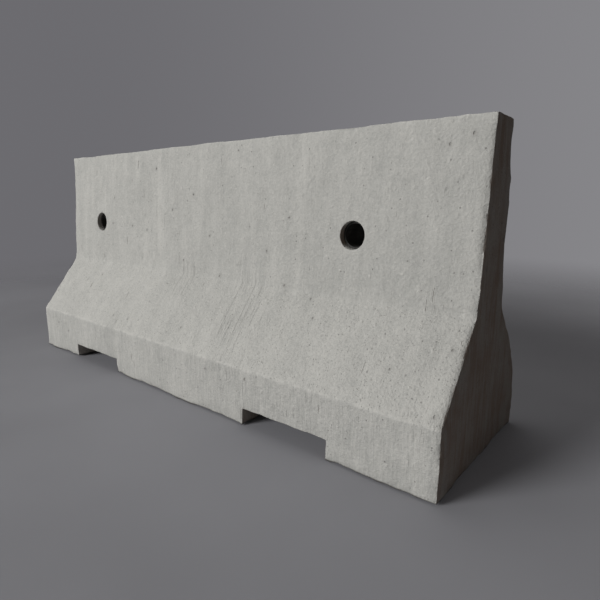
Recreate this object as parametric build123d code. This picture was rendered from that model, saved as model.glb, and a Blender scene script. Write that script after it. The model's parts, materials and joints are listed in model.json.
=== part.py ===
from build123d import *

import os
from math import degrees, hypot

# A short precast concrete jersey barrier, with everything that is cast into it.
#
# Millimetres. X runs along the barrier, Y across it and Z up. The origin is on the ground, under the
# barrier's centre. The concrete is one casting; sleeves, bars, stirrups and cover wheels are cast inside
# it, and the casting fills the space around them exactly.

# Outline of the casting
LENGTH = 1828.8
HEIGHT = 812.8
CURB_TOP_Z = 169.5
SLOPE_TOP_Z = 376.0
BASE_HALF_WIDTH = 254.0
CURB_TOP_HALF_WIDTH = 250.0
SLOPE_TOP_HALF_WIDTH = 91.5
TOP_HALF_WIDTH = 58.5

# Rounding of its edges
BASE_ROUND = 4.0
CURB_ROUND = 8.0
SLOPE_TOP_ROUND = 40.0
TOP_ROUND = 6.0
END_ROUND = 3.0

# Fork slots, open downwards and right through the base
SLOT_CENTRES_X = (-488.0, 476.0)
SLOT_WIDTH = 290.0
SLOT_HEIGHT = 52.0

# The tools that cut slots and holes reach well past both long faces
CUTTER_LENGTH = 4 * BASE_HALF_WIDTH

# Lifting sleeves: 2 1/2 inch plastic pipe, cut square a little inside the sloping faces
SLEEVES_X = {"left": -679.0, "right": 574.0}
SLEEVE_Z = 541.8
SLEEVE_OUTER_RADIUS = 36.5
SLEEVE_WALL = 5.2
SLEEVE_LENGTH = 124.0

# Reinforcing cage
COVER = 30.0
CROSSING_GAP = 2.0
STIRRUP_RADIUS = 4.75
STIRRUP_BEND = 24.0
STIRRUP_FOOT_Z = 93.0
STIRRUP_FOOT_TIP_Y = 110.0
STIRRUPS_X = (-870.0, -779.0, -579.0, -330.0, -70.0, 200.0, 474.0, 674.0, 870.0)
BAR_RADIUS = 6.35
BAR_END_COVER = 40.0
BAR_HEIGHTS = {"toe": 125.0, "slope": 270.0, "lower_stem": 430.0, "upper_stem": 640.0}
HAIRPIN_GAP = 2.0
HAIRPIN_FOOT_Z = 180.0

# Cover wheels, threaded on the legs of three stirrups
WHEEL_STIRRUPS_X = (-779.0, -70.0, 674.0)
WHEEL_STEM_Z = 700.0
WHEEL_SLOPE_Z = 215.0
WHEEL_RADIUS = 30.0
WHEEL_RIM = 5.0
WHEEL_HUB_RADIUS = 10.0
WHEEL_WIDTH = 12.0
WHEEL_WEB = 4.0

# The back half of the outline, from the ground up, as (y, z)
OUTLINE = (
    (BASE_HALF_WIDTH, 0.0),
    (CURB_TOP_HALF_WIDTH, CURB_TOP_Z),
    (SLOPE_TOP_HALF_WIDTH, SLOPE_TOP_Z),
    (TOP_HALF_WIDTH, HEIGHT),
)
SIDES = {"front": -1.0, "back": 1.0}


def mirrored(points):
    """The points of the back half, then the same points on the front half, in order round the outline."""
    return list(points) + [(-y, z) for y, z in reversed(points)]


def face_line(z, inset):
    """(y, z, dy, dz): a point at height z, inset from the face beside it, and that face's direction."""
    for (low_y, low_z), (high_y, high_z) in zip(OUTLINE, OUTLINE[1:]):
        if z <= high_z:
            break
    rise = hypot(high_y - low_y, high_z - low_z)
    dy, dz = (high_y - low_y) / rise, (high_z - low_z) / rise
    return low_y + (z - low_z) * dy / dz - inset / dz, z, dy, dz


def crossing(line, other):
    """Where two lines of the section meet, each given as (y, z, dy, dz)."""
    y, z, dy, dz = line
    other_y, other_z, other_dy, other_dz = other
    along = ((other_y - y) * other_dz - (other_z - z) * other_dy) / (dy * other_dz - dz * other_dy)
    return y + along * dy, z + along * dz


def joined(shapes):
    """Separate solids that share one node."""
    return Compound(children=list(shapes))


def round_bar(path, radius):
    """A round bar along a path of straight runs and tangent arcs."""
    pieces = []
    for edge in path.edges():
        start, onward = edge @ 0, edge % 0
        section = Plane(origin=start, z_dir=onward) * Circle(radius)
        if edge.geom_type == GeomType.LINE:
            pieces.append(extrude(section, amount=edge.length, dir=onward))
        else:
            bend = Axis(edge.arc_center, (start - edge.arc_center).cross(onward))
            pieces.append(revolve(section, bend, revolution_arc=degrees(edge.length / edge.radius)))
    return pieces[0].fuse(*pieces[1:])


def casting():
    """The concrete's outer shape, with its slots and holes but before anything is cast in."""
    rounds = [BASE_ROUND, CURB_ROUND, SLOPE_TOP_ROUND, TOP_ROUND]
    edge = FilletPolyline(*mirrored(OUTLINE), radius=rounds + rounds[::-1], close=True)
    section = Plane.YZ.offset(-LENGTH / 2) * make_face(edge.edges())
    body = extrude(section, amount=LENGTH, dir=(1, 0, 0))
    ends = body.faces().sort_by(Axis.X)
    body = fillet(ends[0].edges() + ends[-1].edges(), END_ROUND)
    slot = Box(SLOT_WIDTH, CUTTER_LENGTH, SLOT_HEIGHT, align=(Align.CENTER, Align.CENTER, Align.MIN))
    for x in SLOT_CENTRES_X:
        body -= Pos(x, 0, 0) * slot
    hole = Rot(90, 0, 0) * Cylinder(SLEEVE_OUTER_RADIUS, CUTTER_LENGTH)
    for x in SLEEVES_X.values():
        body -= Pos(x, 0, SLEEVE_Z) * hole
    return body


def sleeve(x):
    """One length of pipe across the stem."""
    pipe = Cylinder(SLEEVE_OUTER_RADIUS, SLEEVE_LENGTH)
    pipe -= Cylinder(SLEEVE_OUTER_RADIUS - SLEEVE_WALL, SLEEVE_LENGTH)
    return Pos(x, 0, SLEEVE_Z) * Rot(90, 0, 0) * pipe


def long_bar(y, z):
    """One straight bar along the barrier."""
    return Pos(0, y, z) * Rot(0, 90, 0) * Cylinder(BAR_RADIUS, LENGTH - 2 * BAR_END_COVER)


def stirrup(x):
    """One bent bar that follows the outline, with its two feet turned in above the fork slots."""
    inset = COVER + STIRRUP_RADIUS
    foot = (0.0, STIRRUP_FOOT_Z, 1.0, 0.0)
    curb, slope, stem = (face_line(z, inset) for z in (CURB_TOP_Z, SLOPE_TOP_Z, HEIGHT))
    top = (0.0, HEIGHT - inset, 1.0, 0.0)
    corners = [crossing(*pair) for pair in ((foot, curb), (curb, slope), (slope, stem), (stem, top))]
    points = mirrored([(STIRRUP_FOOT_TIP_Y, STIRRUP_FOOT_Z)] + corners)
    path = FilletPolyline(*[(x, y, z) for y, z in points], radius=STIRRUP_BEND)
    return round_bar(path, STIRRUP_RADIUS)


def lifting_hairpin(x):
    """One bent bar over a sleeve, with its legs down inside the cage."""
    bend = SLEEVE_OUTER_RADIUS + HAIRPIN_GAP + BAR_RADIUS
    left_leg = Line((x - bend, 0, HAIRPIN_FOOT_Z), (x - bend, 0, SLEEVE_Z))
    crown = ThreePointArc((x - bend, 0, SLEEVE_Z), (x, 0, SLEEVE_Z + bend), (x + bend, 0, SLEEVE_Z))
    right_leg = Line((x + bend, 0, SLEEVE_Z), (x + bend, 0, HAIRPIN_FOOT_Z))
    return round_bar(left_leg + crown + right_leg, BAR_RADIUS)


def wheel_places(side):
    """Where the cover wheels of one side sit: each one's plane, square to the stirrup's leg."""
    for x in WHEEL_STIRRUPS_X:
        for z in (WHEEL_SLOPE_Z, WHEEL_STEM_Z):
            y, z, dy, dz = face_line(z, COVER + STIRRUP_RADIUS)
            yield Plane(origin=(x, side * y, z), x_dir=(1, 0, 0), z_dir=(0, side * dy, dz))


def cover_wheel(bore_radius):
    """One plastic wheel about Z: a hub and a rim joined by a thin web."""
    half_width, half_web = WHEEL_WIDTH / 2, WHEEL_WEB / 2
    outer = (
        (WHEEL_HUB_RADIUS, half_width),
        (WHEEL_HUB_RADIUS, half_web),
        (WHEEL_RADIUS - WHEEL_RIM, half_web),
        (WHEEL_RADIUS - WHEEL_RIM, half_width),
        (WHEEL_RADIUS, half_width),
    )
    points = [(bore_radius, half_width), *outer]
    points += [(r, -z) for r, z in reversed(points)]
    section = Plane.XZ * make_face(Polyline(*points, close=True).edges())
    return revolve(section, Axis.Z)


def cage_parts():
    """Every piece of steel, by node name."""
    top_z = HEIGHT - COVER - 2 * STIRRUP_RADIUS - CROSSING_GAP - BAR_RADIUS
    parts = {"top_bar": long_bar(0, top_z)}
    for side_name, side in SIDES.items():
        for height_name, z in BAR_HEIGHTS.items():
            y = face_line(z, COVER + 2 * STIRRUP_RADIUS + CROSSING_GAP + BAR_RADIUS)[0]
            parts[f"{side_name}_{height_name}_bar"] = long_bar(side * y, z)
    for number, x in enumerate(STIRRUPS_X, 1):
        parts[f"stirrup_{number}"] = stirrup(x)
    for name, x in SLEEVES_X.items():
        parts[f"{name}_lifting_hairpin"] = lifting_hairpin(x)
    return parts


def all_parts():
    """Every node of the barrier, by name."""
    cage = cage_parts()
    wheels, wheel_spaces = {}, []
    for name, side in SIDES.items():
        places = list(wheel_places(side))
        wheels[f"{name}_cover_wheels"] = joined(place * cover_wheel(STIRRUP_RADIUS) for place in places)
        wheel_spaces += [place * cover_wheel(0) for place in places]
    concrete = casting().cut(*[piece.solid() for piece in (*cage.values(), *wheel_spaces)])
    sleeves = {f"{name}_lifting_sleeve": sleeve(x) for name, x in SLEEVES_X.items()}
    return {"concrete_body": concrete, **sleeves, **cage, **wheels}


os.makedirs("parts", exist_ok=True)
for node, shape in all_parts().items():
    export_step(shape, f"parts/{node}.step")
    print(f"{node}: {len(shape.solids())} solid, {shape.volume / 1000:.1f} cm3")
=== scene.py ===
import json
from math import cos, pi, radians, sin, tau

import bmesh
import bpy
import numpy as np
from bpy.props import FloatProperty, FloatVectorProperty, IntProperty, PointerProperty
from mathutils import Matrix, Vector, kdtree, noise


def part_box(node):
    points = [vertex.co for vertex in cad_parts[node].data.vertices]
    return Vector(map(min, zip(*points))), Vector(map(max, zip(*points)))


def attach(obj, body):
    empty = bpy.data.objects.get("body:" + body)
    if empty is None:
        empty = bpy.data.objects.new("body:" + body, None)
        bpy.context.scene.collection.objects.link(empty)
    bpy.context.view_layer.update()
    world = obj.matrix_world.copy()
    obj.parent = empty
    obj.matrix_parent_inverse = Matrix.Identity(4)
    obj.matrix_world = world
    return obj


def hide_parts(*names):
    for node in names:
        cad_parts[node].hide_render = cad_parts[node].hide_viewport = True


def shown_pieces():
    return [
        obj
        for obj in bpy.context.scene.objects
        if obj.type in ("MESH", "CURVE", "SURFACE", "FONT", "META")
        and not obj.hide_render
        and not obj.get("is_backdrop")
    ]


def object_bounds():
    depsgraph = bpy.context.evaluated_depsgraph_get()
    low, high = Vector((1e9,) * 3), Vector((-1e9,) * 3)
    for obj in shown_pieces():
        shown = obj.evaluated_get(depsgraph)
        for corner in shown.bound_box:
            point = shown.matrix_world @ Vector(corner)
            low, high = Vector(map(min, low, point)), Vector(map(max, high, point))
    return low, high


# The looks of a short precast concrete jersey barrier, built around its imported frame. Metres: X runs
# along the barrier, Y across it and Z up, and the origin is on the ground under its centre.

bl_info = {
    "name": "Precast concrete barrier",
    "version": (1, 0, 0),
    "blender": (4, 5, 0),
    "location": "View3D > Sidebar > Barrier",
    "description": "Casts, weathers and lights a short precast concrete barrier",
    "category": "Add Mesh",
}

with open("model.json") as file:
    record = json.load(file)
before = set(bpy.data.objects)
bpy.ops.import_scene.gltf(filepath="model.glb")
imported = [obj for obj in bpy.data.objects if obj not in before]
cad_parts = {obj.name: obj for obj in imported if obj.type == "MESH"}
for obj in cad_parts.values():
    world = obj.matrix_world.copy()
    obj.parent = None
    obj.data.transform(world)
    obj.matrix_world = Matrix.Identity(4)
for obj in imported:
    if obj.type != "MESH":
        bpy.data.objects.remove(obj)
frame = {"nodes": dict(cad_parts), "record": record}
CAD_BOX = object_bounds()
CAST_LOW, CAST_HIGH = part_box("concrete_body")
SLEEVE_BOXES = [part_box("left_lifting_sleeve"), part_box("right_lifting_sleeve")]
SLOT_BOXES = [opening["box_m"] for opening in frame["record"]["physics"]["openings"]]

# The stated fork openings stay this far inside the slots' walls and roof
OPENING_MARGIN = 0.002
BODY = "root"

# Patches of the front face that were dragged over the form: X, height and reach of each
DRAG_PATCHES = ((0.22, 0.31, 0.13), (-0.10, 0.37, 0.09), (0.25, 0.14, 0.08))


class CastingShape(bpy.types.PropertyGroup):
    """The casting's outline and how far weather and handling have worn it."""

    curb_height: FloatProperty(
        name="Curb height", description="Height of the arris above the curb", default=0.1695,
        unit="LENGTH")
    slope_height: FloatProperty(
        name="Slope height", description="Height of the valley above the slope", default=0.376,
        unit="LENGTH")
    curb_half_width: FloatProperty(
        name="Curb half width", description="Half the width at the curb's arris", default=0.25,
        unit="LENGTH")
    slope_half_width: FloatProperty(
        name="Slope half width", description="Half the width at the valley", default=0.0915,
        unit="LENGTH")
    top_half_width: FloatProperty(
        name="Top half width", description="Half the width of the top", default=0.0585, unit="LENGTH")
    cell: FloatProperty(
        name="Cell", description="Usual side of the coarse cage's cells", default=0.066, unit="LENGTH")
    levels: IntProperty(
        name="Levels", description="Subdivisions of the coarse cage", default=3, min=0, max=4)
    arris_width: FloatProperty(
        name="Arris width", description="Width of the rounding on a sharp arris", default=0.005,
        unit="LENGTH")
    mouth_width: FloatProperty(
        name="Mouth width", description="Width of the soft edge round a lifting hole", default=0.0013,
        unit="LENGTH")
    sway: FloatProperty(
        name="Sway", description="Depth of the slow waves over the faces", default=0.0034, unit="LENGTH")
    ripple: FloatProperty(
        name="Ripple", description="Depth of the ripples that run down the faces", default=0.0012,
        unit="LENGTH")
    wear: FloatProperty(
        name="Wear", description="Depth of the wear along the arrises", default=0.0036, unit="LENGTH")
    pits: IntProperty(name="Pits", description="Number of open air holes", default=150, min=0)
    scratches: IntProperty(name="Scratches", description="Number of short scratches", default=64, min=0)
    chips: IntProperty(name="Chips", description="Number of chips along the arrises", default=26, min=0)
    seed: IntProperty(name="Seed", description="Picks where pits, scratches and chips fall", default=11)


class BarrierColours(bpy.types.PropertyGroup):
    """Colours of the barrier's materials."""

    concrete_light: FloatVectorProperty(
        name="Light concrete", description="Concrete where the cement skin is clean", subtype="COLOR",
        default=(0.520, 0.512, 0.478), min=0, max=1)
    concrete_dark: FloatVectorProperty(
        name="Dark concrete", description="Concrete where the skin is damp or stained", subtype="COLOR",
        default=(0.385, 0.383, 0.360), min=0, max=1)
    # Grit and painted shade in scratches and small air holes.
    hollow_grit_and_shade: FloatVectorProperty(
        name="Hollows", description="Grit in scratches and small air holes", subtype="COLOR",
        default=(0.155, 0.150, 0.140), min=0, max=1)
    # This colour is a painted contact shadow along the foot of the faces.
    foot_contact_shadow: FloatVectorProperty(
        name="Foot", description="Damp dirt along the foot of the faces", subtype="COLOR",
        default=(0.060, 0.057, 0.053), min=0, max=1)
    # The ends' colour is partly a brown film and partly painted shade, darker and browner than the film
    # alone.
    end_stain_and_shade: FloatVectorProperty(
        name="End grime", description="Brown film on the two end faces", subtype="COLOR",
        default=(0.300, 0.240, 0.196), min=0, max=1)
    # The pipe is coloured near black: painted shade inside the lifting holes.
    sleeve: FloatVectorProperty(
        name="Sleeve", description="Plastic pipe of the lifting holes", subtype="COLOR",
        default=(0.040, 0.039, 0.036), min=0, max=1)
    rust: FloatVectorProperty(
        name="Rust", description="Rust on the reinforcement", subtype="COLOR",
        default=(0.260, 0.105, 0.045), min=0, max=1)
    mill_scale: FloatVectorProperty(
        name="Mill scale", description="Dark scale under the rust", subtype="COLOR",
        default=(0.075, 0.062, 0.056), min=0, max=1)
    wheel: FloatVectorProperty(
        name="Cover wheel", description="Plastic of the cover wheels", subtype="COLOR",
        default=(0.028, 0.028, 0.031), min=0, max=1)
    floor: FloatVectorProperty(
        name="Floor", description="Plain studio floor", subtype="COLOR",
        default=(0.286, 0.286, 0.304), min=0, max=1)


class StudioSetup(bpy.types.PropertyGroup):
    """Camera and light of the studio."""

    lens: FloatProperty(
        name="Lens", description="Focal length", default=28.55, subtype="DISTANCE_CAMERA")
    camera_place: FloatVectorProperty(
        name="Camera place", description="Where the camera stands", default=(1.2541, -1.1194, 0.6323),
        subtype="TRANSLATION")
    camera_turn: FloatVectorProperty(
        name="Camera turn", description="How the camera is turned", subtype="EULER",
        default=(radians(78.10), 0.0, radians(39.36)))
    key_power: FloatProperty(
        name="Key power", description="Power of the large light at the front left", default=1580.0,
        subtype="POWER")
    top_power: FloatProperty(
        name="Top power", description="Power of the soft light overhead", default=36.0, subtype="POWER")
    back_power: FloatProperty(
        name="Back power", description="Power of the soft light on the back face", default=260.0,
        subtype="POWER")
    fill_power: FloatProperty(
        name="Fill power", description="Power of the light on the floor at the right", default=40.0,
        subtype="POWER")
    ambient: FloatProperty(
        name="Ambient", description="Brightness of the surroundings as a light", default=0.067, min=0)
    ambient_tint: FloatVectorProperty(
        name="Ambient tint", description="Colour of the surroundings as a light", subtype="COLOR",
        default=(1.0, 0.93, 0.91), min=0, max=1)
    backdrop: FloatVectorProperty(
        name="Backdrop", description="Colour of the studio's far wall at its left", subtype="COLOR",
        default=(0.150, 0.148, 0.160), min=0, max=1)
    # The far wall's right is lighter: painted light on the backdrop, seen by the camera and lighting
    # nothing.
    backdrop_right: FloatVectorProperty(
        name="Backdrop right", description="Colour of the studio's far wall at its right",
        subtype="COLOR", default=(0.245, 0.243, 0.256), min=0, max=1)


# ---------------------------------------------------------------- small tools


def new_piece(name, mesh):
    """A new object at the origin that holds this mesh."""
    piece = bpy.data.objects.new(name, mesh)
    bpy.context.scene.collection.objects.link(piece)
    return piece


def apply_stack(piece):
    """Applies the piece's modifiers to its mesh."""
    graph = bpy.context.evaluated_depsgraph_get()
    finished = bpy.data.meshes.new_from_object(piece.evaluated_get(graph), depsgraph=graph)
    coarse = piece.data
    piece.modifiers.clear()
    piece.data = finished
    bpy.data.meshes.remove(coarse)
    finished.name = piece.name


def remove_helper(piece):
    """Takes a helper out of the file, with its mesh."""
    mesh = piece.data
    bpy.data.objects.remove(piece)
    bpy.data.meshes.remove(mesh)


def places(mesh):
    """The mesh's vertices as rows of x, y, z."""
    found = np.empty(len(mesh.vertices) * 3)
    mesh.vertices.foreach_get("co", found)
    return found.reshape(-1, 3)


def directions(mesh):
    """The normals at the mesh's vertices, as rows."""
    found = np.empty(len(mesh.vertices) * 3)
    mesh.vertex_normals.foreach_get("vector", found)
    return found.reshape(-1, 3)


def swell(points, size, seed):
    """Smooth noise about zero at each point; size is the width of one swell along X, Y and Z."""
    return np.array([noise.noise(point) for point in (points / np.array(size) + seed).tolist()])


def eased(values, low, high):
    """0 before low, 1 past high, and smooth between them; high may be the smaller of the two."""
    share = np.clip((values - low) / (high - low), 0, 1)
    return share * share * (3 - 2 * share)


# ---------------------------------------------------------------- the casting's cage


def stations(corners, cell):
    """Numbers from the first corner to the last that hold every corner, about a cell apart."""
    found = [corners[0]]
    for low, high in zip(corners, corners[1:]):
        count = max(1, round((high - low) / cell + 0.3))
        found += [low + (high - low) * step / count for step in range(1, count + 1)]
    return found


def face_y(shape, z):
    """Half the casting's width at height z."""
    heights = (0.0, shape.curb_height, shape.slope_height, CAST_HIGH.z)
    widths = (CAST_HIGH.y, shape.curb_half_width, shape.slope_half_width, shape.top_half_width)
    return float(np.interp(z, heights, widths))


class Cage:
    """The casting's coarse cage, nearly all of four-sided cells, with its slots and holes left open."""

    # Where cells meet across the casting, as shares of half its width
    ACROSS = (-1.0, -0.5, 0.0, 0.5, 1.0)
    TOP_ACROSS = (-1.0, 0.0, 1.0)
    # Half the side of the square patch round a hole, and the cells round it
    HOLE_REACH = 0.047
    HOLE_STEPS = 8
    # Eight points round a circle are moved out by this factor, because the smooth curve that they
    # make runs inside them
    HOLE_SPREAD = 6 / (4 + 2 * cos(tau / 8))
    # The curb's arris is blunt, so it takes this share of a sharp arris's rounding
    RIDGE_ROUNDING = 0.6
    # Partly creased, the valley above the slope stays a tight curve
    VALLEY_CREASE = 0.58
    # Bends from which an edge counts as sharp, as a ridge or as a valley
    SHARP, RIDGE, VALLEY = radians(40), radians(25), radians(12)
    # The rows of cells on the slope and over the holes may be this much taller than the others
    SLOPE_CELL, TOP_CELL = 1.25, 1.2
    # A patch's right side joins a station that is nearer than this
    SAME_STATION = 0.003

    def __init__(self, shape):
        self.shape = shape
        self.mesh = bmesh.new()
        self.found = {}
        self.rims = set()
        self.slots = [
            (low[0] - OPENING_MARGIN, high[0] + OPENING_MARGIN, high[2] + OPENING_MARGIN)
            for low, high in SLOT_BOXES
        ]
        self.holes = [((low.x + high.x) / 2, (low.z + high.z) / 2) for low, high in SLEEVE_BOXES]
        self.hole_radius = (SLEEVE_BOXES[0][1].x - SLEEVE_BOXES[0][0].x) / 2
        hole_z, reach = self.holes[0][1], self.HOLE_REACH
        self.slot_top = self.slots[0][2]
        self.z = stations((0.0, self.slot_top, shape.curb_height), shape.cell)
        self.z += stations((shape.curb_height, shape.slope_height), shape.cell * self.SLOPE_CELL)[1:]
        self.z += stations((shape.slope_height, hole_z - reach), shape.cell)[1:]
        self.z += [hole_z, hole_z + reach]
        self.z += stations((hole_z + reach, CAST_HIGH.z), shape.cell * self.TOP_CELL)[1:]
        corners = {CAST_LOW.x, CAST_HIGH.x}
        for left, right, _ in self.slots:
            corners |= {left, right}
        for x, _ in self.holes:
            corners |= {x, x - reach}
            if min(abs(x + reach - corner) for corner in corners) > self.SAME_STATION:
                corners.add(x + reach)
        self.x = stations(sorted(corners), shape.cell)

    def vertex(self, x, y, z):
        """The cage's vertex at this place."""
        key = (round(x, 6), round(y, 6), round(z, 6))
        if key not in self.found:
            self.found[key] = self.mesh.verts.new((x, y, z))
        return self.found[key]

    def face(self, *points):
        """One cell through these places."""
        return self.mesh.faces.new([self.vertex(*point) for point in points])

    def in_slot(self, left, right):
        """True if the stretch from left to right lies over a fork slot."""
        middle = (left + right) / 2
        return any(low < middle < high for low, high, _ in self.slots)

    def in_patch(self, left, right, low, high):
        """True for a cell that a hole's patch takes."""
        middle_x, middle_z = (left + right) / 2, (low + high) / 2
        return any(
            abs(middle_x - x) < self.HOLE_REACH and abs(middle_z - z) < self.HOLE_REACH
            for x, z in self.holes)

    def long_face(self, side):
        """The curb, slope and stem of one side."""
        for left, right in zip(self.x, self.x[1:]):
            for low, high in zip(self.z, self.z[1:]):
                over_slot = high <= self.slot_top and self.in_slot(left, right)
                if over_slot or self.in_patch(left, right, low, high):
                    continue
                y_low, y_high = side * face_y(self.shape, low), side * face_y(self.shape, high)
                foot = ((left, y_low, low), (right, y_low, low))
                self.face(*foot, (right, y_high, high), (left, y_high, high))

    def strip(self, x_pair, z_pair, shares):
        """A row of cells across the casting, from one long face to the other."""
        (x0, x1), (z0, z1) = x_pair, z_pair
        y0, y1 = face_y(self.shape, z0), face_y(self.shape, z1)
        for a, b in zip(shares, shares[1:]):
            self.face((x0, a * y0, z0), (x0, b * y0, z0), (x1, b * y1, z1), (x1, a * y1, z1))

    def level_faces(self):
        """The top, the underside and the slots' roofs."""
        for pair in zip(self.x, self.x[1:]):
            self.strip(pair, (CAST_HIGH.z, CAST_HIGH.z), self.TOP_ACROSS)
            z = self.slot_top if self.in_slot(*pair) else 0.0
            self.strip(pair, (z, z), self.ACROSS)

    def upright_faces(self):
        """The slots' side walls and the two ends."""
        for left, right, top in self.slots:
            for x in (left, right):
                self.strip((x, x), (0.0, top), self.ACROSS)
        for x in (self.x[0], self.x[-1]):
            for pair in zip(self.z[:-1], self.z[1:-1]):
                self.strip((x, x), pair, self.ACROSS)
            # Two five-sided cells join the four below them to the top's two
            low, high = self.z[-2], self.z[-1]
            y_low, y_high = face_y(self.shape, low), face_y(self.shape, high)
            for first in (0, 2):
                shares = self.ACROSS[first:first + 3]
                row = [(x, share * y_low, low) for share in shares]
                over = [(x, share * y_high, high) for share in (shares[2], shares[0])]
                self.face(*row, *over)

    def hole(self, x, z):
        """A round hole from face to face, with a soft mouth and a patch of eight cells round it."""
        square = ((-1, -1), (0, -1), (1, -1), (1, 0), (1, 1), (0, 1), (-1, 1), (-1, 0))
        angles = [-3 * pi / 4 + tau * step / self.HOLE_STEPS for step in range(self.HOLE_STEPS)]
        soft = self.shape.mouth_width

        def ring(side, radius, depth):
            """Cage points of one circle, so deep inside the face of that side."""
            points = []
            for angle in angles:
                ring_x, ring_z = x + radius * cos(angle), z + radius * sin(angle)
                points.append((ring_x, side * (face_y(self.shape, ring_z) - depth), ring_z))
            return points

        def joined(first, second):
            """Eight cells between two rings."""
            for step in range(self.HOLE_STEPS):
                after = (step + 1) % self.HOLE_STEPS
                self.face(first[step], first[after], second[after], second[step])

        throat = self.hole_radius * self.HOLE_SPREAD
        rings = []
        for side in (-1, 1):
            outer = []
            for a, b in square:
                corner_x = min(self.x, key=lambda station: abs(station - x - a * self.HOLE_REACH))
                corner_z = z + b * self.HOLE_REACH
                outer.append((corner_x, side * face_y(self.shape, corner_z), corner_z))
            mouth, lip = ring(side, throat + soft, 0.0), ring(side, throat, soft)
            joined(outer, mouth)
            joined(mouth, lip)
            for edge_ring in (mouth, lip):
                for step in range(self.HOLE_STEPS):
                    rim = (self.vertex(*edge_ring[step - 1]), self.vertex(*edge_ring[step]))
                    self.rims.add(self.mesh.edges.get(rim))
            rings.append(lip)
        middle = [(ring_x, 0.0, ring_z) for ring_x, _, ring_z in rings[0]]
        joined(rings[0], middle)
        joined(middle, rings[1])

    def in_hole(self, edge):
        """True for an edge of a hole's wall."""
        reach = self.hole_radius * self.HOLE_SPREAD + 2 * self.shape.mouth_width
        return any(
            all(Vector((end.co.x - x, end.co.z - z)).length < reach for end in edge.verts)
            for x, z in self.holes)

    def build(self, name):
        """The cage as an object, with its arrises creased and marked for rounding."""
        for side in (-1, 1):
            self.long_face(side)
        self.level_faces()
        self.upright_faces()
        for place in self.holes:
            self.hole(*place)
        bmesh.ops.recalc_face_normals(self.mesh, faces=self.mesh.faces)
        crease = self.mesh.edges.layers.float.new("crease_edge")
        rounding = self.mesh.edges.layers.float.new("bevel_weight_edge")
        for edge in self.mesh.edges:
            bend = abs(edge.calc_face_angle_signed())
            if edge in self.rims:
                edge[crease] = 1.0
            elif self.in_hole(edge):
                continue
            elif bend > self.SHARP:
                edge[crease] = 1.0
                edge[rounding] = float(edge.is_convex)
            elif bend > self.RIDGE and edge.is_convex:
                edge[crease] = 1.0
                edge[rounding] = self.RIDGE_ROUNDING
            elif bend > self.VALLEY:
                edge[crease] = self.VALLEY_CREASE
        mesh = bpy.data.meshes.new(name)
        self.mesh.to_mesh(mesh)
        return new_piece(name, mesh)

    def arris_points(self, spacing, least):
        """Points along every arris with at least this share of the rounding."""
        rounding = self.mesh.edges.layers.float["bevel_weight_edge"]
        rows = []
        for edge in self.mesh.edges:
            if edge[rounding] >= least:
                count = max(1, round(edge.calc_length() / spacing))
                rows += [edge.verts[0].co.lerp(edge.verts[1].co, step / count) for step in range(count)]
        return rows


# ---------------------------------------------------------------- weathering


def distance_to(points, marks):
    """How far each point is from the nearest mark."""
    tree = kdtree.KDTree(len(marks))
    for index, place in enumerate(marks):
        tree.insert(place, index)
    tree.balance()
    return np.array([tree.find(point)[2] for point in points.tolist()])


def hole_distance(points):
    """How far each point is from the axis of the nearest lifting hole."""
    found = [
        np.hypot(points[:, 0] - (low.x + high.x) / 2, points[:, 2] - (low.z + high.z) / 2)
        for low, high in SLEEVE_BOXES
    ]
    return np.minimum(*found)


def softened(mesh, rows, rounds):
    """Directions at the vertices, each turned towards its neighbours' a number of times."""
    pairs = np.empty(len(mesh.edges) * 2, dtype=int)
    mesh.edges.foreach_get("vertices", pairs)
    first, second = pairs.reshape(-1, 2).T
    for _ in range(rounds):
        total = rows.copy()
        np.add.at(total, first, rows[second])
        np.add.at(total, second, rows[first])
        rows = total / np.linalg.norm(total, axis=1)[:, None]
    return rows


# Waves over the faces: share of the sway or ripple, width of one swell along X, Y and Z, and seed
SWAYS = ((1.0, (0.33, 0.33, 0.33), 3.1), (0.45, (0.13, 0.13, 0.16), 7.7))
RIPPLES = ((1.0, (0.05, 0.05, 0.16), 12.3), (0.4, (0.022, 0.022, 0.035), 21.9))
# The trowelled top loses this share of the waves
TOP_CALM = 0.8
# The waves die away towards a hole, between these distances from its axis
HOLE_CALM = (0.042, 0.085)
# How far from an arris wear reaches: its broken edge, and the band beside it that wavers
EDGE_REACH, BAND_REACH = 0.009, 0.034
# The ends' arrises and the foot take the whole wear, and the others this share of it
LONG_ARRIS_WEAR = 0.42


def wear_along(points, arrises):
    """How much of the wear each point takes."""
    distance = distance_to(points, arrises)
    worn = 1.1 + 0.9 * swell(points, (0.07,) * 3, 31.4) + 0.9 * swell(points, (0.024,) * 3, 43.2)
    waver = np.clip(0.35 + 1.7 * swell(points, (0.13,) * 3, 57.5), 0, 1.6)
    lost = np.exp(-(distance / EDGE_REACH) ** 2) * np.clip(worn, 0.3, 2.2)
    lost += np.exp(-(distance / BAND_REACH) ** 2) * waver
    # The ends' top corners are spared
    on_end = eased(np.abs(points[:, 0]), CAST_HIGH.x - 0.012, CAST_HIGH.x - 0.004)
    on_end *= eased(points[:, 2], CAST_HIGH.z - 0.015, CAST_HIGH.z - 0.05)
    at_foot = eased(points[:, 2], 0.045, 0.01)
    return lost * (LONG_ARRIS_WEAR + (1 - LONG_ARRIS_WEAR) * np.maximum(on_end, at_foot))


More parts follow.
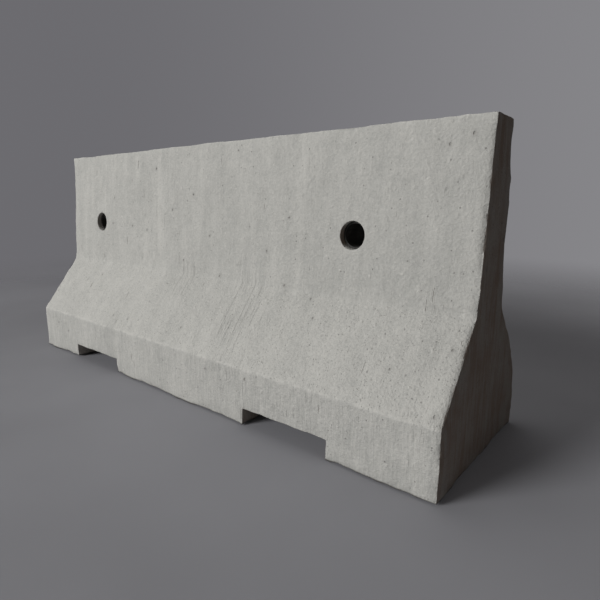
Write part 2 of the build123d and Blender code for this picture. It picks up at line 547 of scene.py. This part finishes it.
def weather(shape, mesh, arrises):
    """Moves the mesh's vertices: slow waves, ripples that run down the faces, and worn arrises."""
    points, normals = places(mesh), directions(mesh)
    move = np.zeros(len(points))
    for depth, waves in ((shape.sway, SWAYS), (shape.ripple, RIPPLES)):
        for share, size, seed in waves:
            move += share * depth * swell(points, size, seed)
    move *= 1 - TOP_CALM * eased(normals[:, 2], 0.7, 0.95)
    clear = eased(hole_distance(points), *HOLE_CALM)
    lost = shape.wear * clear * wear_along(points, arrises)
    # Wear goes along softened normals, so neighbours on two sides of an arris never cross
    blunt = softened(mesh, normals, rounds=4)
    points += normals * (move * clear)[:, None] - blunt * lost[:, None]
    points = np.clip(points, CAST_LOW, CAST_HIGH)
    mesh.vertices.foreach_set("co", points.ravel())
    mesh.update()


def cutter_mesh(name, places_and_sizes):
    """Many small rounded lumps in one mesh, each given by its axes, which hold its half sizes."""
    ball = bmesh.new()
    bmesh.ops.create_icosphere(ball, subdivisions=1, radius=1)
    corners = np.array([vertex.co for vertex in ball.verts])
    faces = np.array([[vertex.index for vertex in face.verts] for face in ball.faces])
    ball.free()
    points = [corners @ np.array(axes) + np.array(place) for place, axes in places_and_sizes]
    all_faces = [faces + len(corners) * index for index in range(len(points))]
    mesh = bpy.data.meshes.new(name)
    mesh.from_pydata(np.concatenate(points).tolist(), [], np.concatenate(all_faces).tolist())
    return mesh


def down_the_face(normal):
    """The two directions in a face: level, and down its slope. A level face's are X and Y."""
    level = Vector((0, 0, 1)).cross(normal)
    if level.length < 0.2:
        level = Vector((1, 0, 0))
    level.normalize()
    return level, normal.cross(level).normalized()


class Blemishes:
    """Picks free places on the casting for pits, scratches and chips, which never overlap."""

    # The least distance of pits and scratches from a hole's axis and from an arris
    HOLE_GAP, ARRIS_GAP = 0.05, 0.014
    # Radius of the room that each kind of blemish keeps to itself
    PIT_ROOM, SCRATCH_ROOM, CHIP_ROOM = 0.008, 0.012, 0.016
    # Pits with a larger radius than this are darkened with grit and painted shade
    GRIT_AND_SHADE_PIT = 0.0024
    # Chips stay this far above the ground
    CHIP_FLOOR = 0.02

    def __init__(self, mesh, seed, arrises):
        self.random = np.random.RandomState(seed)
        self.taken = []
        self.hollows = []
        self.arrises = arrises
        count = len(mesh.polygons)
        centres, normals, areas = np.empty(count * 3), np.empty(count * 3), np.empty(count)
        mesh.polygons.foreach_get("center", centres)
        mesh.polygons.foreach_get("normal", normals)
        mesh.polygons.foreach_get("area", areas)
        self.centres, self.normals = centres.reshape(-1, 3), normals.reshape(-1, 3)
        weight = areas * (self.normals[:, 2] > -0.2) * (hole_distance(self.centres) > self.HOLE_GAP)
        weight[distance_to(self.centres, arrises) < self.ARRIS_GAP] = 0
        self.weight = weight

    def free(self, place, reach):
        """Takes this place if nothing else is within reach of it."""
        for other, other_reach in self.taken:
            if (place - other).length < reach + other_reach:
                return False
        self.taken.append((place, reach))
        return True

    def on_faces(self, count, reach, weight=None):
        """Places on the faces, with their normals."""
        chance = self.weight if weight is None else self.weight * weight
        picks = self.random.choice(len(chance), size=count, replace=False, p=chance / chance.sum())
        for pick in picks:
            place = Vector(self.centres[pick])
            if self.free(place, reach):
                yield place, Vector(self.normals[pick])

    def pits(self, count):
        """Air holes: small, shallow, round lumps sunk into the face."""
        for place, normal in self.on_faces(count, self.PIT_ROOM):
            level, down = down_the_face(normal)
            size = 0.0017 + 0.0026 * self.random.rand() ** 1.6
            long = size * (1 + 0.6 * self.random.rand())
            if size > self.GRIT_AND_SHADE_PIT:
                self.hollows.append(place)
            yield place, (level * size, down * long, normal * (0.0007 + 0.34 * size))

    def scratches(self, count):
        """Short grooves that run down the face, in loose groups."""
        gathered = [noise.noise(Vector(centre) / 0.16) for centre in self.centres]
        closer = eased(np.array(gathered), 0.0, 0.35) + 0.04
        for place, normal in self.on_faces(count, self.SCRATCH_ROOM, closer):
            level, down = down_the_face(normal)
            tilt = self.random.normal(0, 0.06)
            length = 0.006 + 0.016 * self.random.rand()
            along = (down + level * tilt).normalized()
            width = 0.0009 + 0.0008 * self.random.rand()
            yield place, (level * width, along * length, normal * width)

    def chips(self, count):
        """Bites out of the arrises."""
        for pick in self.random.choice(len(self.arrises), size=count, replace=False):
            place = self.arrises[pick]
            if place.z < self.CHIP_FLOOR or not self.free(place, self.CHIP_ROOM):
                continue
            long = 0.005 + 0.008 * self.random.rand()
            deep = 0.0036 + 0.0022 * self.random.rand()
            turn = Matrix.Rotation(self.random.uniform(-0.4, 0.4), 3, "Y")
            runs_up = abs(abs(place.x) - CAST_HIGH.x) < 0.001
            axes = [Vector((deep, 0, 0)), Vector((0, deep, 0)), Vector((0, 0, long))]
            if not runs_up:
                axes = [Vector((long, 0, 0)), Vector((0, deep, 0)), Vector((0, 0, deep))]
            yield place, tuple(turn @ axis for axis in axes)


def cut_blemishes(shape, piece, arrises):
    """Cuts pits, scratches and chips out of the piece; gives the middles of the pits darkened with grit
    and painted shade.
    """
    spots = Blemishes(piece.data, shape.seed, arrises)
    lumps = [*spots.chips(shape.chips), *spots.scratches(shape.scratches), *spots.pits(shape.pits)]
    cutter = new_piece("blemish_cutter", cutter_mesh("blemish_cutter", lumps))
    cut = piece.modifiers.new("blemishes", "BOOLEAN")
    cut.operation, cut.object, cut.solver = "DIFFERENCE", cutter, "MANIFOLD"
    apply_stack(piece)
    remove_helper(cutter)
    return spots.hollows


def drop_crumbs(mesh):
    """Keeps the mesh's largest connected shell and deletes the rest."""
    shells = bmesh.new()
    shells.from_mesh(mesh)
    unseen, crumbs, largest = set(shells.verts), [], []
    while unseen:
        shell, reached = [], [unseen.pop()]
        while reached:
            vertex = reached.pop()
            shell.append(vertex)
            for edge in vertex.link_edges:
                other = edge.other_vert(vertex)
                if other in unseen:
                    unseen.remove(other)
                    reached.append(other)
        if len(shell) > len(largest):
            shell, largest = largest, shell
        crumbs += shell
    bmesh.ops.delete(shells, geom=crumbs, context="VERTS")
    shells.to_mesh(mesh)
    shells.free()


# ---------------------------------------------------------------- materials


class Finish:
    """A material's nodes, with short ways to add and join them."""

    def __init__(self, name):
        self.material = bpy.data.materials.new(name)
        self.material.use_nodes = True
        self.tree = self.material.node_tree
        self.tree.nodes.clear()
        self.coordinates = self.add("ShaderNodeTexCoord").outputs["Object"]

    def add(self, kind, settings=(), inputs=()):
        """A node with these settings, and inputs given by name or number as values or sockets."""
        made = self.tree.nodes.new(kind)
        for key, value in dict(settings).items():
            setattr(made, key, value)
        for key, value in dict(inputs).items():
            if isinstance(value, bpy.types.NodeSocket):
                self.tree.links.new(value, made.inputs[key])
            else:
                made.inputs[key].default_value = value
        return made

    def math(self, operation, a, b=0.0):
        """One sum on two numbers."""
        return self.add("ShaderNodeMath", {"operation": operation}, {0: a, 1: b}).outputs[0]

    def times(self, a, b):
        """One number times another."""
        return self.math("MULTIPLY", a, b)

    def plus(self, total, *terms):
        """Numbers added up."""
        for term in terms:
            total = self.math("ADD", total, term)
        return total

    def most(self, largest, *others):
        """The largest of several numbers."""
        for other in others:
            largest = self.math("MAXIMUM", largest, other)
        return largest

    def attribute(self, name):
        """A number that the piece's points hold."""
        return self.add("ShaderNodeAttribute", {"attribute_name": name}).outputs["Fac"]

    def stretched(self, factors):
        """The piece's own coordinates, scaled along X, Y and Z."""
        scaled = self.add(
            "ShaderNodeVectorMath", {"operation": "MULTIPLY"}, {0: self.coordinates, 1: factors})
        return scaled.outputs[0]

    def noise(self, scale, detail=2.0, roughness=0.5, vector=None, distortion=0.0):
        """A smooth random pattern, about 0.5."""
        found = self.add("ShaderNodeTexNoise", {"normalize": True}, {
            "Vector": vector or self.coordinates, "Scale": scale, "Detail": detail,
            "Roughness": roughness, "Distortion": distortion})
        return found.outputs["Fac"]

    def between(self, value, low, high, out_low=0.0, out_high=1.0):
        """The value's way from low to high, eased, as a number from out_low to out_high."""
        mapped = self.add("ShaderNodeMapRange", {"interpolation_type": "SMOOTHSTEP"}, {
            "Value": value, "From Min": low, "From Max": high, "To Min": out_low, "To Max": out_high})
        return mapped.outputs["Result"]

    def mixed(self, share, first, second):
        """A colour between two others, which are the mix's inputs 6 and 7."""
        mix = self.add("ShaderNodeMix", {"data_type": "RGBA"}, {0: share})
        for number, colour in ((6, first), (7, second)):
            if isinstance(colour, bpy.types.NodeSocket):
                self.tree.links.new(colour, mix.inputs[number])
            else:
                mix.inputs[number].default_value = (*colour, 1.0)
        return mix.outputs[2]

    def mixed_vector(self, share, first, second):
        """A vector between two others, which are the mix's inputs 4 and 5."""
        mix = self.add("ShaderNodeMix", {"data_type": "VECTOR"}, {0: share, 4: first, 5: second})
        return mix.outputs[1]

    def weighted(self, start, *terms):
        """The start plus each pattern's distance from 0.5 times its weight."""
        parts = [
            self.math("SUBTRACT", self.times(pattern, weight), weight / 2)
            for pattern, weight in terms
        ]
        return self.plus(start, *parts)

    def heights(self, *terms):
        """The sum of patterns times their heights in millimetres."""
        return self.plus(*[self.times(pattern, height) for pattern, height in terms])

    def surface(self, colour, roughness, height, metallic=0.0, specular=0.5):
        """Joins everything to the surface; height is in millimetres."""
        bump = self.add("ShaderNodeBump", (), {"Strength": 1.0, "Distance": 0.001, "Height": height})
        shader = self.add("ShaderNodeBsdfPrincipled", (), {
            "Roughness": roughness, "Metallic": metallic, "Specular IOR Level": specular,
            "Normal": bump.outputs[0]})
        if isinstance(colour, bpy.types.NodeSocket):
            self.tree.links.new(colour, shader.inputs["Base Color"])
        else:
            shader.inputs["Base Color"].default_value = (*colour, 1.0)
        output = self.add("ShaderNodeOutputMaterial")
        self.tree.links.new(shader.outputs[0], output.inputs[0])
        return self.material


class ConcreteFinish(Finish):
    """Cast concrete: cement skin with smears, grit, scratches and small air holes, a painted highlight
    along the arrises, and painted shade in the hollows, on the ends and along the foot.
    """

    def __init__(self, colours):
        super().__init__("cast_concrete")
        self.colours = colours
        normal = self.add("ShaderNodeNewGeometry").outputs["Normal"]
        facing = self.add("ShaderNodeSeparateXYZ", (), {0: normal}).outputs
        self.facing_end = self.between(self.math("ABSOLUTE", facing[0]), 0.6, 0.85)
        self.facing_up = self.between(facing[2], 0.2, 0.55)
        place = self.add("ShaderNodeSeparateXYZ", (), {0: self.coordinates}).outputs
        self.lengthways, self.across, self.height_up = place
        self.on_curb = self.between(self.height_up, 0.155, 0.172, 1.0, 0.0)
        self.add_patterns()
        self.add_marks()

    def streaks(self, across, along, detail, roughness, distortion=0.0):
        """Noise drawn out down the faces; across and along are its scales per metre."""
        side = self.stretched((across, along, along))
        end = self.stretched((along, across, along))
        vector = self.mixed_vector(self.facing_end, side, end)
        return self.noise(1.0, detail, roughness, vector, distortion)

    def flecks(self, scale, share, low, high):
        """Scattered round spots: 1 in their middles, and only the given share of them kept."""
        cells = self.add("ShaderNodeTexVoronoi", {"feature": "F1"}, {
            "Vector": self.coordinates, "Scale": scale, "Randomness": 1.0})
        chosen = self.add("ShaderNodeSeparateColor", (), {0: cells.outputs["Color"]}).outputs[0]
        spot = self.between(cells.outputs["Distance"], low, high, 1.0, 0.0)
        return self.times(spot, self.between(chosen, 1 - share, 1.04 - share))

    def add_patterns(self):
        """The random patterns that tone, stain and height share, from broad to fine."""
        self.mottle = self.noise(3.2, 4.0, 0.55)
        self.blotch = self.noise(13.0, 3.0, 0.6)
        self.lumps = self.noise(42.0, 2.0, 0.55)
        self.coarse_grit = self.noise(150.0, 2.0, 0.6)
        self.grit = self.noise(420.0, 3.0, 0.7)
        self.smear = self.streaks(21.0, 2.4, 3.0, 0.55, 0.2)
        self.drag = self.streaks(95.0, 9.0, 3.0, 0.6, 0.15)
        self.fine_drag = self.streaks(270.0, 17.0, 2.0, 0.6, 0.1)
        patches = self.between(self.noise(2.3, 2.0), 0.45, 0.65)
        self.sandy = self.most(self.times(self.facing_up, 0.9), self.times(patches, 0.5))

    def add_marks(self):
        """Scratches, drag grooves, air holes, dark specks and pale flecks: 1 inside one, 0 outside."""
        scratched = self.between(self.noise(5.5, 2.0), 0.5, 0.68)
        lines = self.streaks(330.0, 30.0, 1.0, 0.4)
        self.scratch = self.times(self.between(lines, 0.67, 0.76), scratched)
        furrows = self.streaks(190.0, 8.0, 1.0, 0.4, 0.25)
        self.groove = self.times(self.between(furrows, 0.55, 0.70), self.dragged())
        self.air_hole = self.flecks(95.0, 0.10, 0.10, 0.28)
        spots = self.flecks(170.0, 0.36, 0.12, 0.36)
        self.speck = self.times(spots, self.between(self.sandy, 0.1, 0.8, 0.15, 1.0))
        self.pale_fleck = self.flecks(44.0, 0.16, 0.05, 0.24)

    def dragged(self):
        """Where the fresh face was dragged: patches on the front, and a few low ones all round."""
        flat = self.stretched((1.0, 0.0, 1.0))
        in_patch = 0.0
        for x, z, reach in DRAG_PATCHES:
            away = self.add("ShaderNodeVectorMath", {"operation": "DISTANCE"}, {0: flat, 1: (x, 0.0, z)})
            patch = self.between(away.outputs["Value"], 0.5 * reach, reach, 1.0, 0.0)
            in_patch = self.most(patch, in_patch)
        in_front = self.between(self.across, -0.05, -0.04, 1.0, 0.0)
        low_down = self.between(self.height_up, 0.40, 0.48, 0.8, 0.0)
        elsewhere = self.times(self.between(self.noise(4.2, 1.0), 0.58, 0.70), low_down)
        return self.most(self.times(in_patch, in_front), elsewhere)

    def tone(self):
        """How light the skin is, about 0.5."""
        broad = self.weighted(
            0.5, (self.mottle, 0.6), (self.blotch, 0.5), (self.lumps, 0.6), (self.smear, 0.8),
            (self.drag, 0.35), (self.coarse_grit, 1.3))
        streak_weight = self.between(self.on_curb, 0.0, 1.0, 0.35, 1.5)
        streaked = self.times(self.math("SUBTRACT", self.fine_drag, 0.5), streak_weight)
        speckle = self.times(self.math("SUBTRACT", self.grit, 0.5), self.plus(self.sandy, 0.5))
        # Painted highlight: the skin is paler along the arrises.
        near_arris = self.between(self.attribute("arris"), 0.35, 0.95)
        arris_highlight = self.times(near_arris, self.between(self.lumps, 0.42, 0.6))
        pale_smear = self.between(self.smear, 0.58, 0.78, 0.0, 0.26)
        # Faces that look upwards take 0.12 more tone: painted light falling from above.
        return self.plus(
            broad, streaked, self.times(speckle, 2.4), self.times(arris_highlight, 0.6), self.pale_fleck,
            self.times(self.facing_up, 0.12), pale_smear)

    def grime_and_shade(self):
        """Brown film and painted shade in streaks on the two ends, half as strong on the left one."""
        stain_and_shade = self.weighted(
            0.8, (self.smear, 1.2), (self.blotch, 1.0), (self.drag, 1.1), (self.fine_drag, 0.6))
        film_and_shade = self.times(self.facing_end, self.between(stain_and_shade, 0.35, 1.25, 0.36, 1.08))
        return self.times(film_and_shade, self.between(self.lengthways, -0.5, 0.5, 0.5, 1.0))

    def skin(self):
        """The colour: clean concrete, then the brown film and painted shade on the ends, the painted
        contact shadow along the foot, and the grit and painted shade in the hollows.
        """
        colours = self.colours
        skin = self.mixed(self.tone(), colours.concrete_dark, colours.concrete_light)
        # The curb is made a little darker, mixed 7% towards the hollows' colour.
        skin = self.mixed(self.times(self.on_curb, 0.07), skin, colours.hollow_grit_and_shade)
        # The ends darken and brown: a film and painted shade.
        skin = self.mixed(self.grime_and_shade(), skin, colours.end_stain_and_shade)
        # Painted contact shadow: the lowest centimetre of every face is darkened nearly to black.
        foot = self.between(self.height_up, 0.0035, 0.0095, 0.95, 0.0)
        skin = self.mixed(foot, skin, colours.foot_contact_shadow)
        # Scratches, air holes, pits, specks and grooves darken: grit in them and painted shade in the
        # hollows.
        hollow = self.most(
            self.times(self.scratch, 0.45), self.times(self.air_hole, 0.6),
            self.times(self.attribute("hollow"), 0.5), self.times(self.speck, 0.5),
            self.times(self.groove, 0.16))
        return self.mixed(hollow, skin, colours.hollow_grit_and_shade)

    def relief(self):
        """The height of the surface, in millimetres."""
        return self.heights(
            (self.grit, 0.8), (self.coarse_grit, 2.2), (self.lumps, 2.2), (self.blotch, 3.0),
            (self.drag, 0.7), (self.scratch, -0.6), (self.air_hole, -0.9), (self.speck, -0.5),
            (self.pale_fleck, 1.0), (self.groove, -1.1))

    def finished(self):
        """The material, with every part joined up."""
        roughness = self.between(self.mottle, 0.3, 0.7, 0.96, 0.84)
        return self.surface(self.skin(), roughness, self.relief(), specular=0.3)


def sleeve_finish(colours):
    """Plastic pipe coloured near black as painted shade inside the lifting holes, with a little cement
    dust and scuffs along it.
    """
    look = Finish("sleeve_plastic")
    dust = look.between(look.noise(38.0, 4.0, 0.65), 0.45, 0.75)
    scuff = look.noise(1.0, 2.0, 0.6, look.stretched((160.0, 12.0, 160.0)))
    pairs = zip(colours.concrete_dark, colours.sleeve)
    dusty = tuple(0.2 * cement + 0.8 * plastic for cement, plastic in pairs)
    colour = look.mixed(look.times(dust, 0.5), colours.sleeve, dusty)
    height = look.heights((scuff, 0.12), (dust, 0.2))
    return look.surface(colour, look.between(scuff, 0.3, 0.7, 0.55, 0.75), height, specular=0.25)


def steel_finish(colours):
    """Reinforcing bar: dark mill scale under patches of rust, pitted all over."""
    look = Finish("reinforcing_steel")
    patch = look.between(look.noise(60.0, 5.0, 0.65), 0.40, 0.62)
    pitting = look.noise(900.0, 3.0, 0.7)
    colour = look.mixed(patch, colours.mill_scale, colours.rust)
    pale = tuple(min(1.0, 1.5 * part) for part in colours.rust)
    colour = look.mixed(look.between(pitting, 0.55, 0.75), colour, pale)
    height = look.heights((pitting, 0.25), (patch, 0.15))
    return look.surface(colour, look.between(patch, 0.0, 1.0, 0.55, 0.92), height, metallic=0.3)


def wheel_finish(colours):
    """Black moulded plastic with a fine texture and cement dust."""
    look = Finish("wheel_plastic")
    grain = look.noise(1300.0, 2.0, 0.5)
    dust = look.between(look.noise(70.0, 3.0, 0.6), 0.5, 0.75)
    dusty = tuple(0.3 * part for part in colours.concrete_light)
    colour = look.mixed(look.times(dust, 0.5), colours.wheel, dusty)
    roughness = look.between(grain, 0.3, 0.7, 0.5, 0.65)
    return look.surface(colour, roughness, look.heights((grain, 0.08)))


def floor_finish(colours, fade_from, fade_to):
    """Plain floor that melts into the backdrop with distance."""
    look = Finish("studio_floor")
    cloud = look.noise(1.1, 3.0, 0.5)
    darker = tuple(0.93 * part for part in colours.floor)
    lighter = tuple(1.06 * part for part in colours.floor)
    colour = look.mixed(look.between(cloud, 0.3, 0.7), darker, lighter)
    distance = look.add("ShaderNodeVectorMath", {"operation": "LENGTH"}, {0: look.coordinates})
    gone = look.between(distance.outputs["Value"], fade_from, fade_to)
    shader = look.add("ShaderNodeBsdfPrincipled", (), {
        "Base Color": colour, "Roughness": 0.9, "Specular IOR Level": 0.1})
    clear = look.add("ShaderNodeBsdfTransparent")
    mix = look.add("ShaderNodeMixShader", (), {0: gone, 1: shader.outputs[0], 2: clear.outputs[0]})
    output = look.add("ShaderNodeOutputMaterial")
    look.tree.links.new(mix.outputs[0], output.inputs[0])
    return look.material


# ---------------------------------------------------------------- operators


class BARRIER_OT_cast_concrete(bpy.types.Operator):
    """Casts the concrete body from its coarse cage, then weathers it"""

    bl_idname = "barrier.cast_concrete"
    bl_label = "Cast the concrete"

    # Spacing of the marks along the arrises
    SPACING = 0.004
    # How far the painted highlight along an arris and the grit and painted shade of a pit reach
    ARRIS_REACH, HOLLOW_REACH = 0.006, 0.005

    def execute(self, context):
        shape = context.scene.casting_shape
        cage = Cage(shape)
        piece = cage.build("concrete_casting")
        arrises = cage.arris_points(self.SPACING, 1.0)
        ridges = cage.arris_points(self.SPACING, Cage.RIDGE_ROUNDING - 0.1)
        cage.mesh.free()
        smooth = piece.modifiers.new("form", "SUBSURF")
        smooth.levels = smooth.render_levels = shape.levels
        rounding = piece.modifiers.new("arrises", "BEVEL")
        rounding.limit_method = "WEIGHT"
        rounding.width, rounding.segments = shape.arris_width, 3
        apply_stack(piece)
        weather(shape, piece.data, arrises)
        hollows = cut_blemishes(shape, piece, arrises)
        mesh = piece.data
        drop_crumbs(mesh)
        points = places(mesh)
        fields = (("arris", ridges, self.ARRIS_REACH), ("hollow", hollows, self.HOLLOW_REACH))
        for name, marks, reach in fields:
            closeness = np.exp(-(distance_to(points, marks) / reach) ** 2)
            mesh.attributes.new(name, "FLOAT", "POINT").data.foreach_set("value", closeness)
        mesh.polygons.foreach_set("use_smooth", [True] * len(mesh.polygons))
        mesh.set_sharp_from_angle(angle=radians(50))
        mesh.materials.clear()
        mesh.materials.append(ConcreteFinish(context.scene.barrier_colours).finished())
        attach(piece, BODY)
        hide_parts("concrete_body")
        return {"FINISHED"}


class BARRIER_OT_finish_sleeves(bpy.types.Operator):
    """Gives the two lifting sleeves their dusty plastic"""

    bl_idname = "barrier.finish_sleeves"
    bl_label = "Finish the sleeves"

    def execute(self, context):
        material = sleeve_finish(context.scene.barrier_colours)
        for name in ("left_lifting_sleeve", "right_lifting_sleeve"):
            repaint(name, material)
        return {"FINISHED"}


class BARRIER_OT_finish_steel(bpy.types.Operator):
    """Gives every bar, stirrup and hairpin its rust"""

    bl_idname = "barrier.finish_steel"
    bl_label = "Finish the steel"

    def execute(self, context):
        material = steel_finish(context.scene.barrier_colours)
        for name in sorted(frame["nodes"]):
            if name.endswith(("_bar", "_hairpin")) or name.startswith("stirrup"):
                repaint(name, material)
        return {"FINISHED"}


class BARRIER_OT_finish_wheels(bpy.types.Operator):
    """Gives the cover wheels their moulded plastic"""

    bl_idname = "barrier.finish_wheels"
    bl_label = "Finish the cover wheels"

    def execute(self, context):
        material = wheel_finish(context.scene.barrier_colours)
        for name in ("front_cover_wheels", "back_cover_wheels"):
            repaint(name, material)
        return {"FINISHED"}


def repaint(name, material):
    """A better material for a CAD node, whose mesh stays as it is."""
    node = frame["nodes"][name]
    for place in node.material_slots:
        place.material = material


def area_light(name, place, target, size, power):
    """A large soft light that faces its target."""
    lamp = bpy.data.lights.new(name, "AREA")
    lamp.shape, lamp.size, lamp.energy = "DISK", size, power
    light = bpy.data.objects.new(name, lamp)
    bpy.context.scene.collection.objects.link(light)
    light.location = place
    light.rotation_euler = (Vector(target) - Vector(place)).to_track_quat("-Z", "Y").to_euler()
    return light


class BARRIER_OT_set_stage(bpy.types.Operator):
    """Sets the floor, the soft light, the backdrop and the camera"""

    bl_idname = "barrier.set_stage"
    bl_label = "Set the stage"

    FLOOR_RADIUS = 7.0
    # The floor melts into the backdrop between these distances from the barrier
    FADE = (1.1, 4.8)
    # Place and size of each light; all of them face the target
    LIGHTS = {
        "key": ((-5.4, -11.4, 4.7), 6.0),
        "top": ((-0.9, 0.2, 5.0), 3.5),
        "fill": ((6.0, -1.5, 2.6), 4.0),
        "back": ((-3.2, 4.6, 2.4), 3.0),
    }
    TARGET = (0.0, 0.0, 0.4)

    def execute(self, context):
        scene, studio = context.scene, context.scene.studio_setup
        disc = bmesh.new()
        bmesh.ops.create_circle(disc, cap_ends=True, segments=96, radius=self.FLOOR_RADIUS)
        mesh = bpy.data.meshes.new("studio_floor")
        disc.to_mesh(mesh)
        disc.free()
        floor = new_piece("studio_floor", mesh)
        mesh.materials.append(floor_finish(scene.barrier_colours, *self.FADE))
        floor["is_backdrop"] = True
        lights = {}
        for name, (place, size) in self.LIGHTS.items():
            power = getattr(studio, f"{name}_power")
            lights[name] = area_light(f"{name}_light", place, self.TARGET, size, power)
        self.light_only(lights["fill"], [floor])
        self.light_only(lights["back"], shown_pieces())
        self.set_world(scene, studio)
        camera = bpy.data.objects.new("camera", bpy.data.cameras.new("camera"))
        scene.collection.objects.link(camera)
        camera.location, camera.rotation_euler = studio.camera_place, studio.camera_turn
        camera.data.lens = studio.lens
        camera.data.clip_start = 0.05
        scene.camera = camera
        scene.view_settings.view_transform = "Standard"
        return {"FINISHED"}

    def light_only(self, light, lit):
        """Keeps a light's glow to these objects."""
        group = bpy.data.collections.new(f"lit_by_{light.name}")
        for piece in lit:
            group.objects.link(piece)
        light.light_linking.receiver_collection = group

    def set_world(self, scene, studio):
        """A backdrop that brightens to the camera's right and gives less light than it shows."""
        world = bpy.data.worlds.new("studio_world")
        world.use_nodes = True
        nodes, links = world.node_tree.nodes, world.node_tree.links
        nodes.clear()
        right = nodes.new("ShaderNodeVectorMath")
        right.operation = "DOT_PRODUCT"
        links.new(nodes.new("ShaderNodeTexCoord").outputs["Generated"], right.inputs[0])
        turn = studio.camera_turn[2]
        right.inputs[1].default_value = (cos(turn), sin(turn), 0.0)
        share = nodes.new("ShaderNodeMapRange")
        share.interpolation_type = "SMOOTHSTEP"
        share.inputs["From Min"].default_value, share.inputs["From Max"].default_value = -0.45, 0.75
        links.new(right.outputs["Value"], share.inputs["Value"])
        # Painted light: the backdrop grows lighter towards the camera's right.
        wall = nodes.new("ShaderNodeMix")
        wall.data_type = "RGBA"
        links.new(share.outputs["Result"], wall.inputs[0])
        wall.inputs[6].default_value = (*studio.backdrop, 1.0)
        wall.inputs[7].default_value = (*studio.backdrop_right, 1.0)
        seen = nodes.new("ShaderNodeBackground")
        links.new(wall.outputs[2], seen.inputs[0])
        glow = nodes.new("ShaderNodeBackground")
        glow.inputs[0].default_value = (*studio.ambient_tint, 1.0)
        glow.inputs[1].default_value = studio.ambient
        path, mix = nodes.new("ShaderNodeLightPath"), nodes.new("ShaderNodeMixShader")
        output = nodes.new("ShaderNodeOutputWorld")
        links.new(path.outputs["Is Camera Ray"], mix.inputs[0])
        links.new(glow.outputs[0], mix.inputs[1])
        links.new(seen.outputs[0], mix.inputs[2])
        links.new(mix.outputs[0], output.inputs[0])
        scene.world = world


class BARRIER_PT_panel(bpy.types.Panel):
    """Lists the barrier's operators and settings"""

    bl_idname = "BARRIER_PT_panel"
    bl_label = "Concrete barrier"
    bl_space_type = "VIEW_3D"
    bl_region_type = "UI"
    bl_category = "Barrier"

    def draw(self, context):
        for operator in OPERATORS:
            self.layout.operator(operator.bl_idname)
        for group_name in GROUPS:
            settings, box = getattr(context.scene, group_name), self.layout.box()
            for name in settings.__annotations__:
                box.prop(settings, name)


GROUPS = {
    "casting_shape": CastingShape,
    "barrier_colours": BarrierColours,
    "studio_setup": StudioSetup,
}
OPERATORS = (
    BARRIER_OT_cast_concrete,
    BARRIER_OT_finish_sleeves,
    BARRIER_OT_finish_steel,
    BARRIER_OT_finish_wheels,
    BARRIER_OT_set_stage,
)
CLASSES = (*GROUPS.values(), *OPERATORS, BARRIER_PT_panel)


def register():
    for cls in CLASSES:
        bpy.utils.register_class(cls)
    for name, group in GROUPS.items():
        setattr(bpy.types.Scene, name, PointerProperty(type=group))


def unregister():
    for name in GROUPS:
        delattr(bpy.types.Scene, name)
    for cls in reversed(CLASSES):
        bpy.utils.unregister_class(cls)


def main():
    register()
    for operator in OPERATORS:
        group, name = operator.bl_idname.split(".")
        getattr(getattr(bpy.ops, group), name)()
    boxes = {"cad": CAD_BOX, "visual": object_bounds()}
    sizes = {name: [list(corner) for corner in box] for name, box in boxes.items()}


if __name__ == "__main__":
    main()
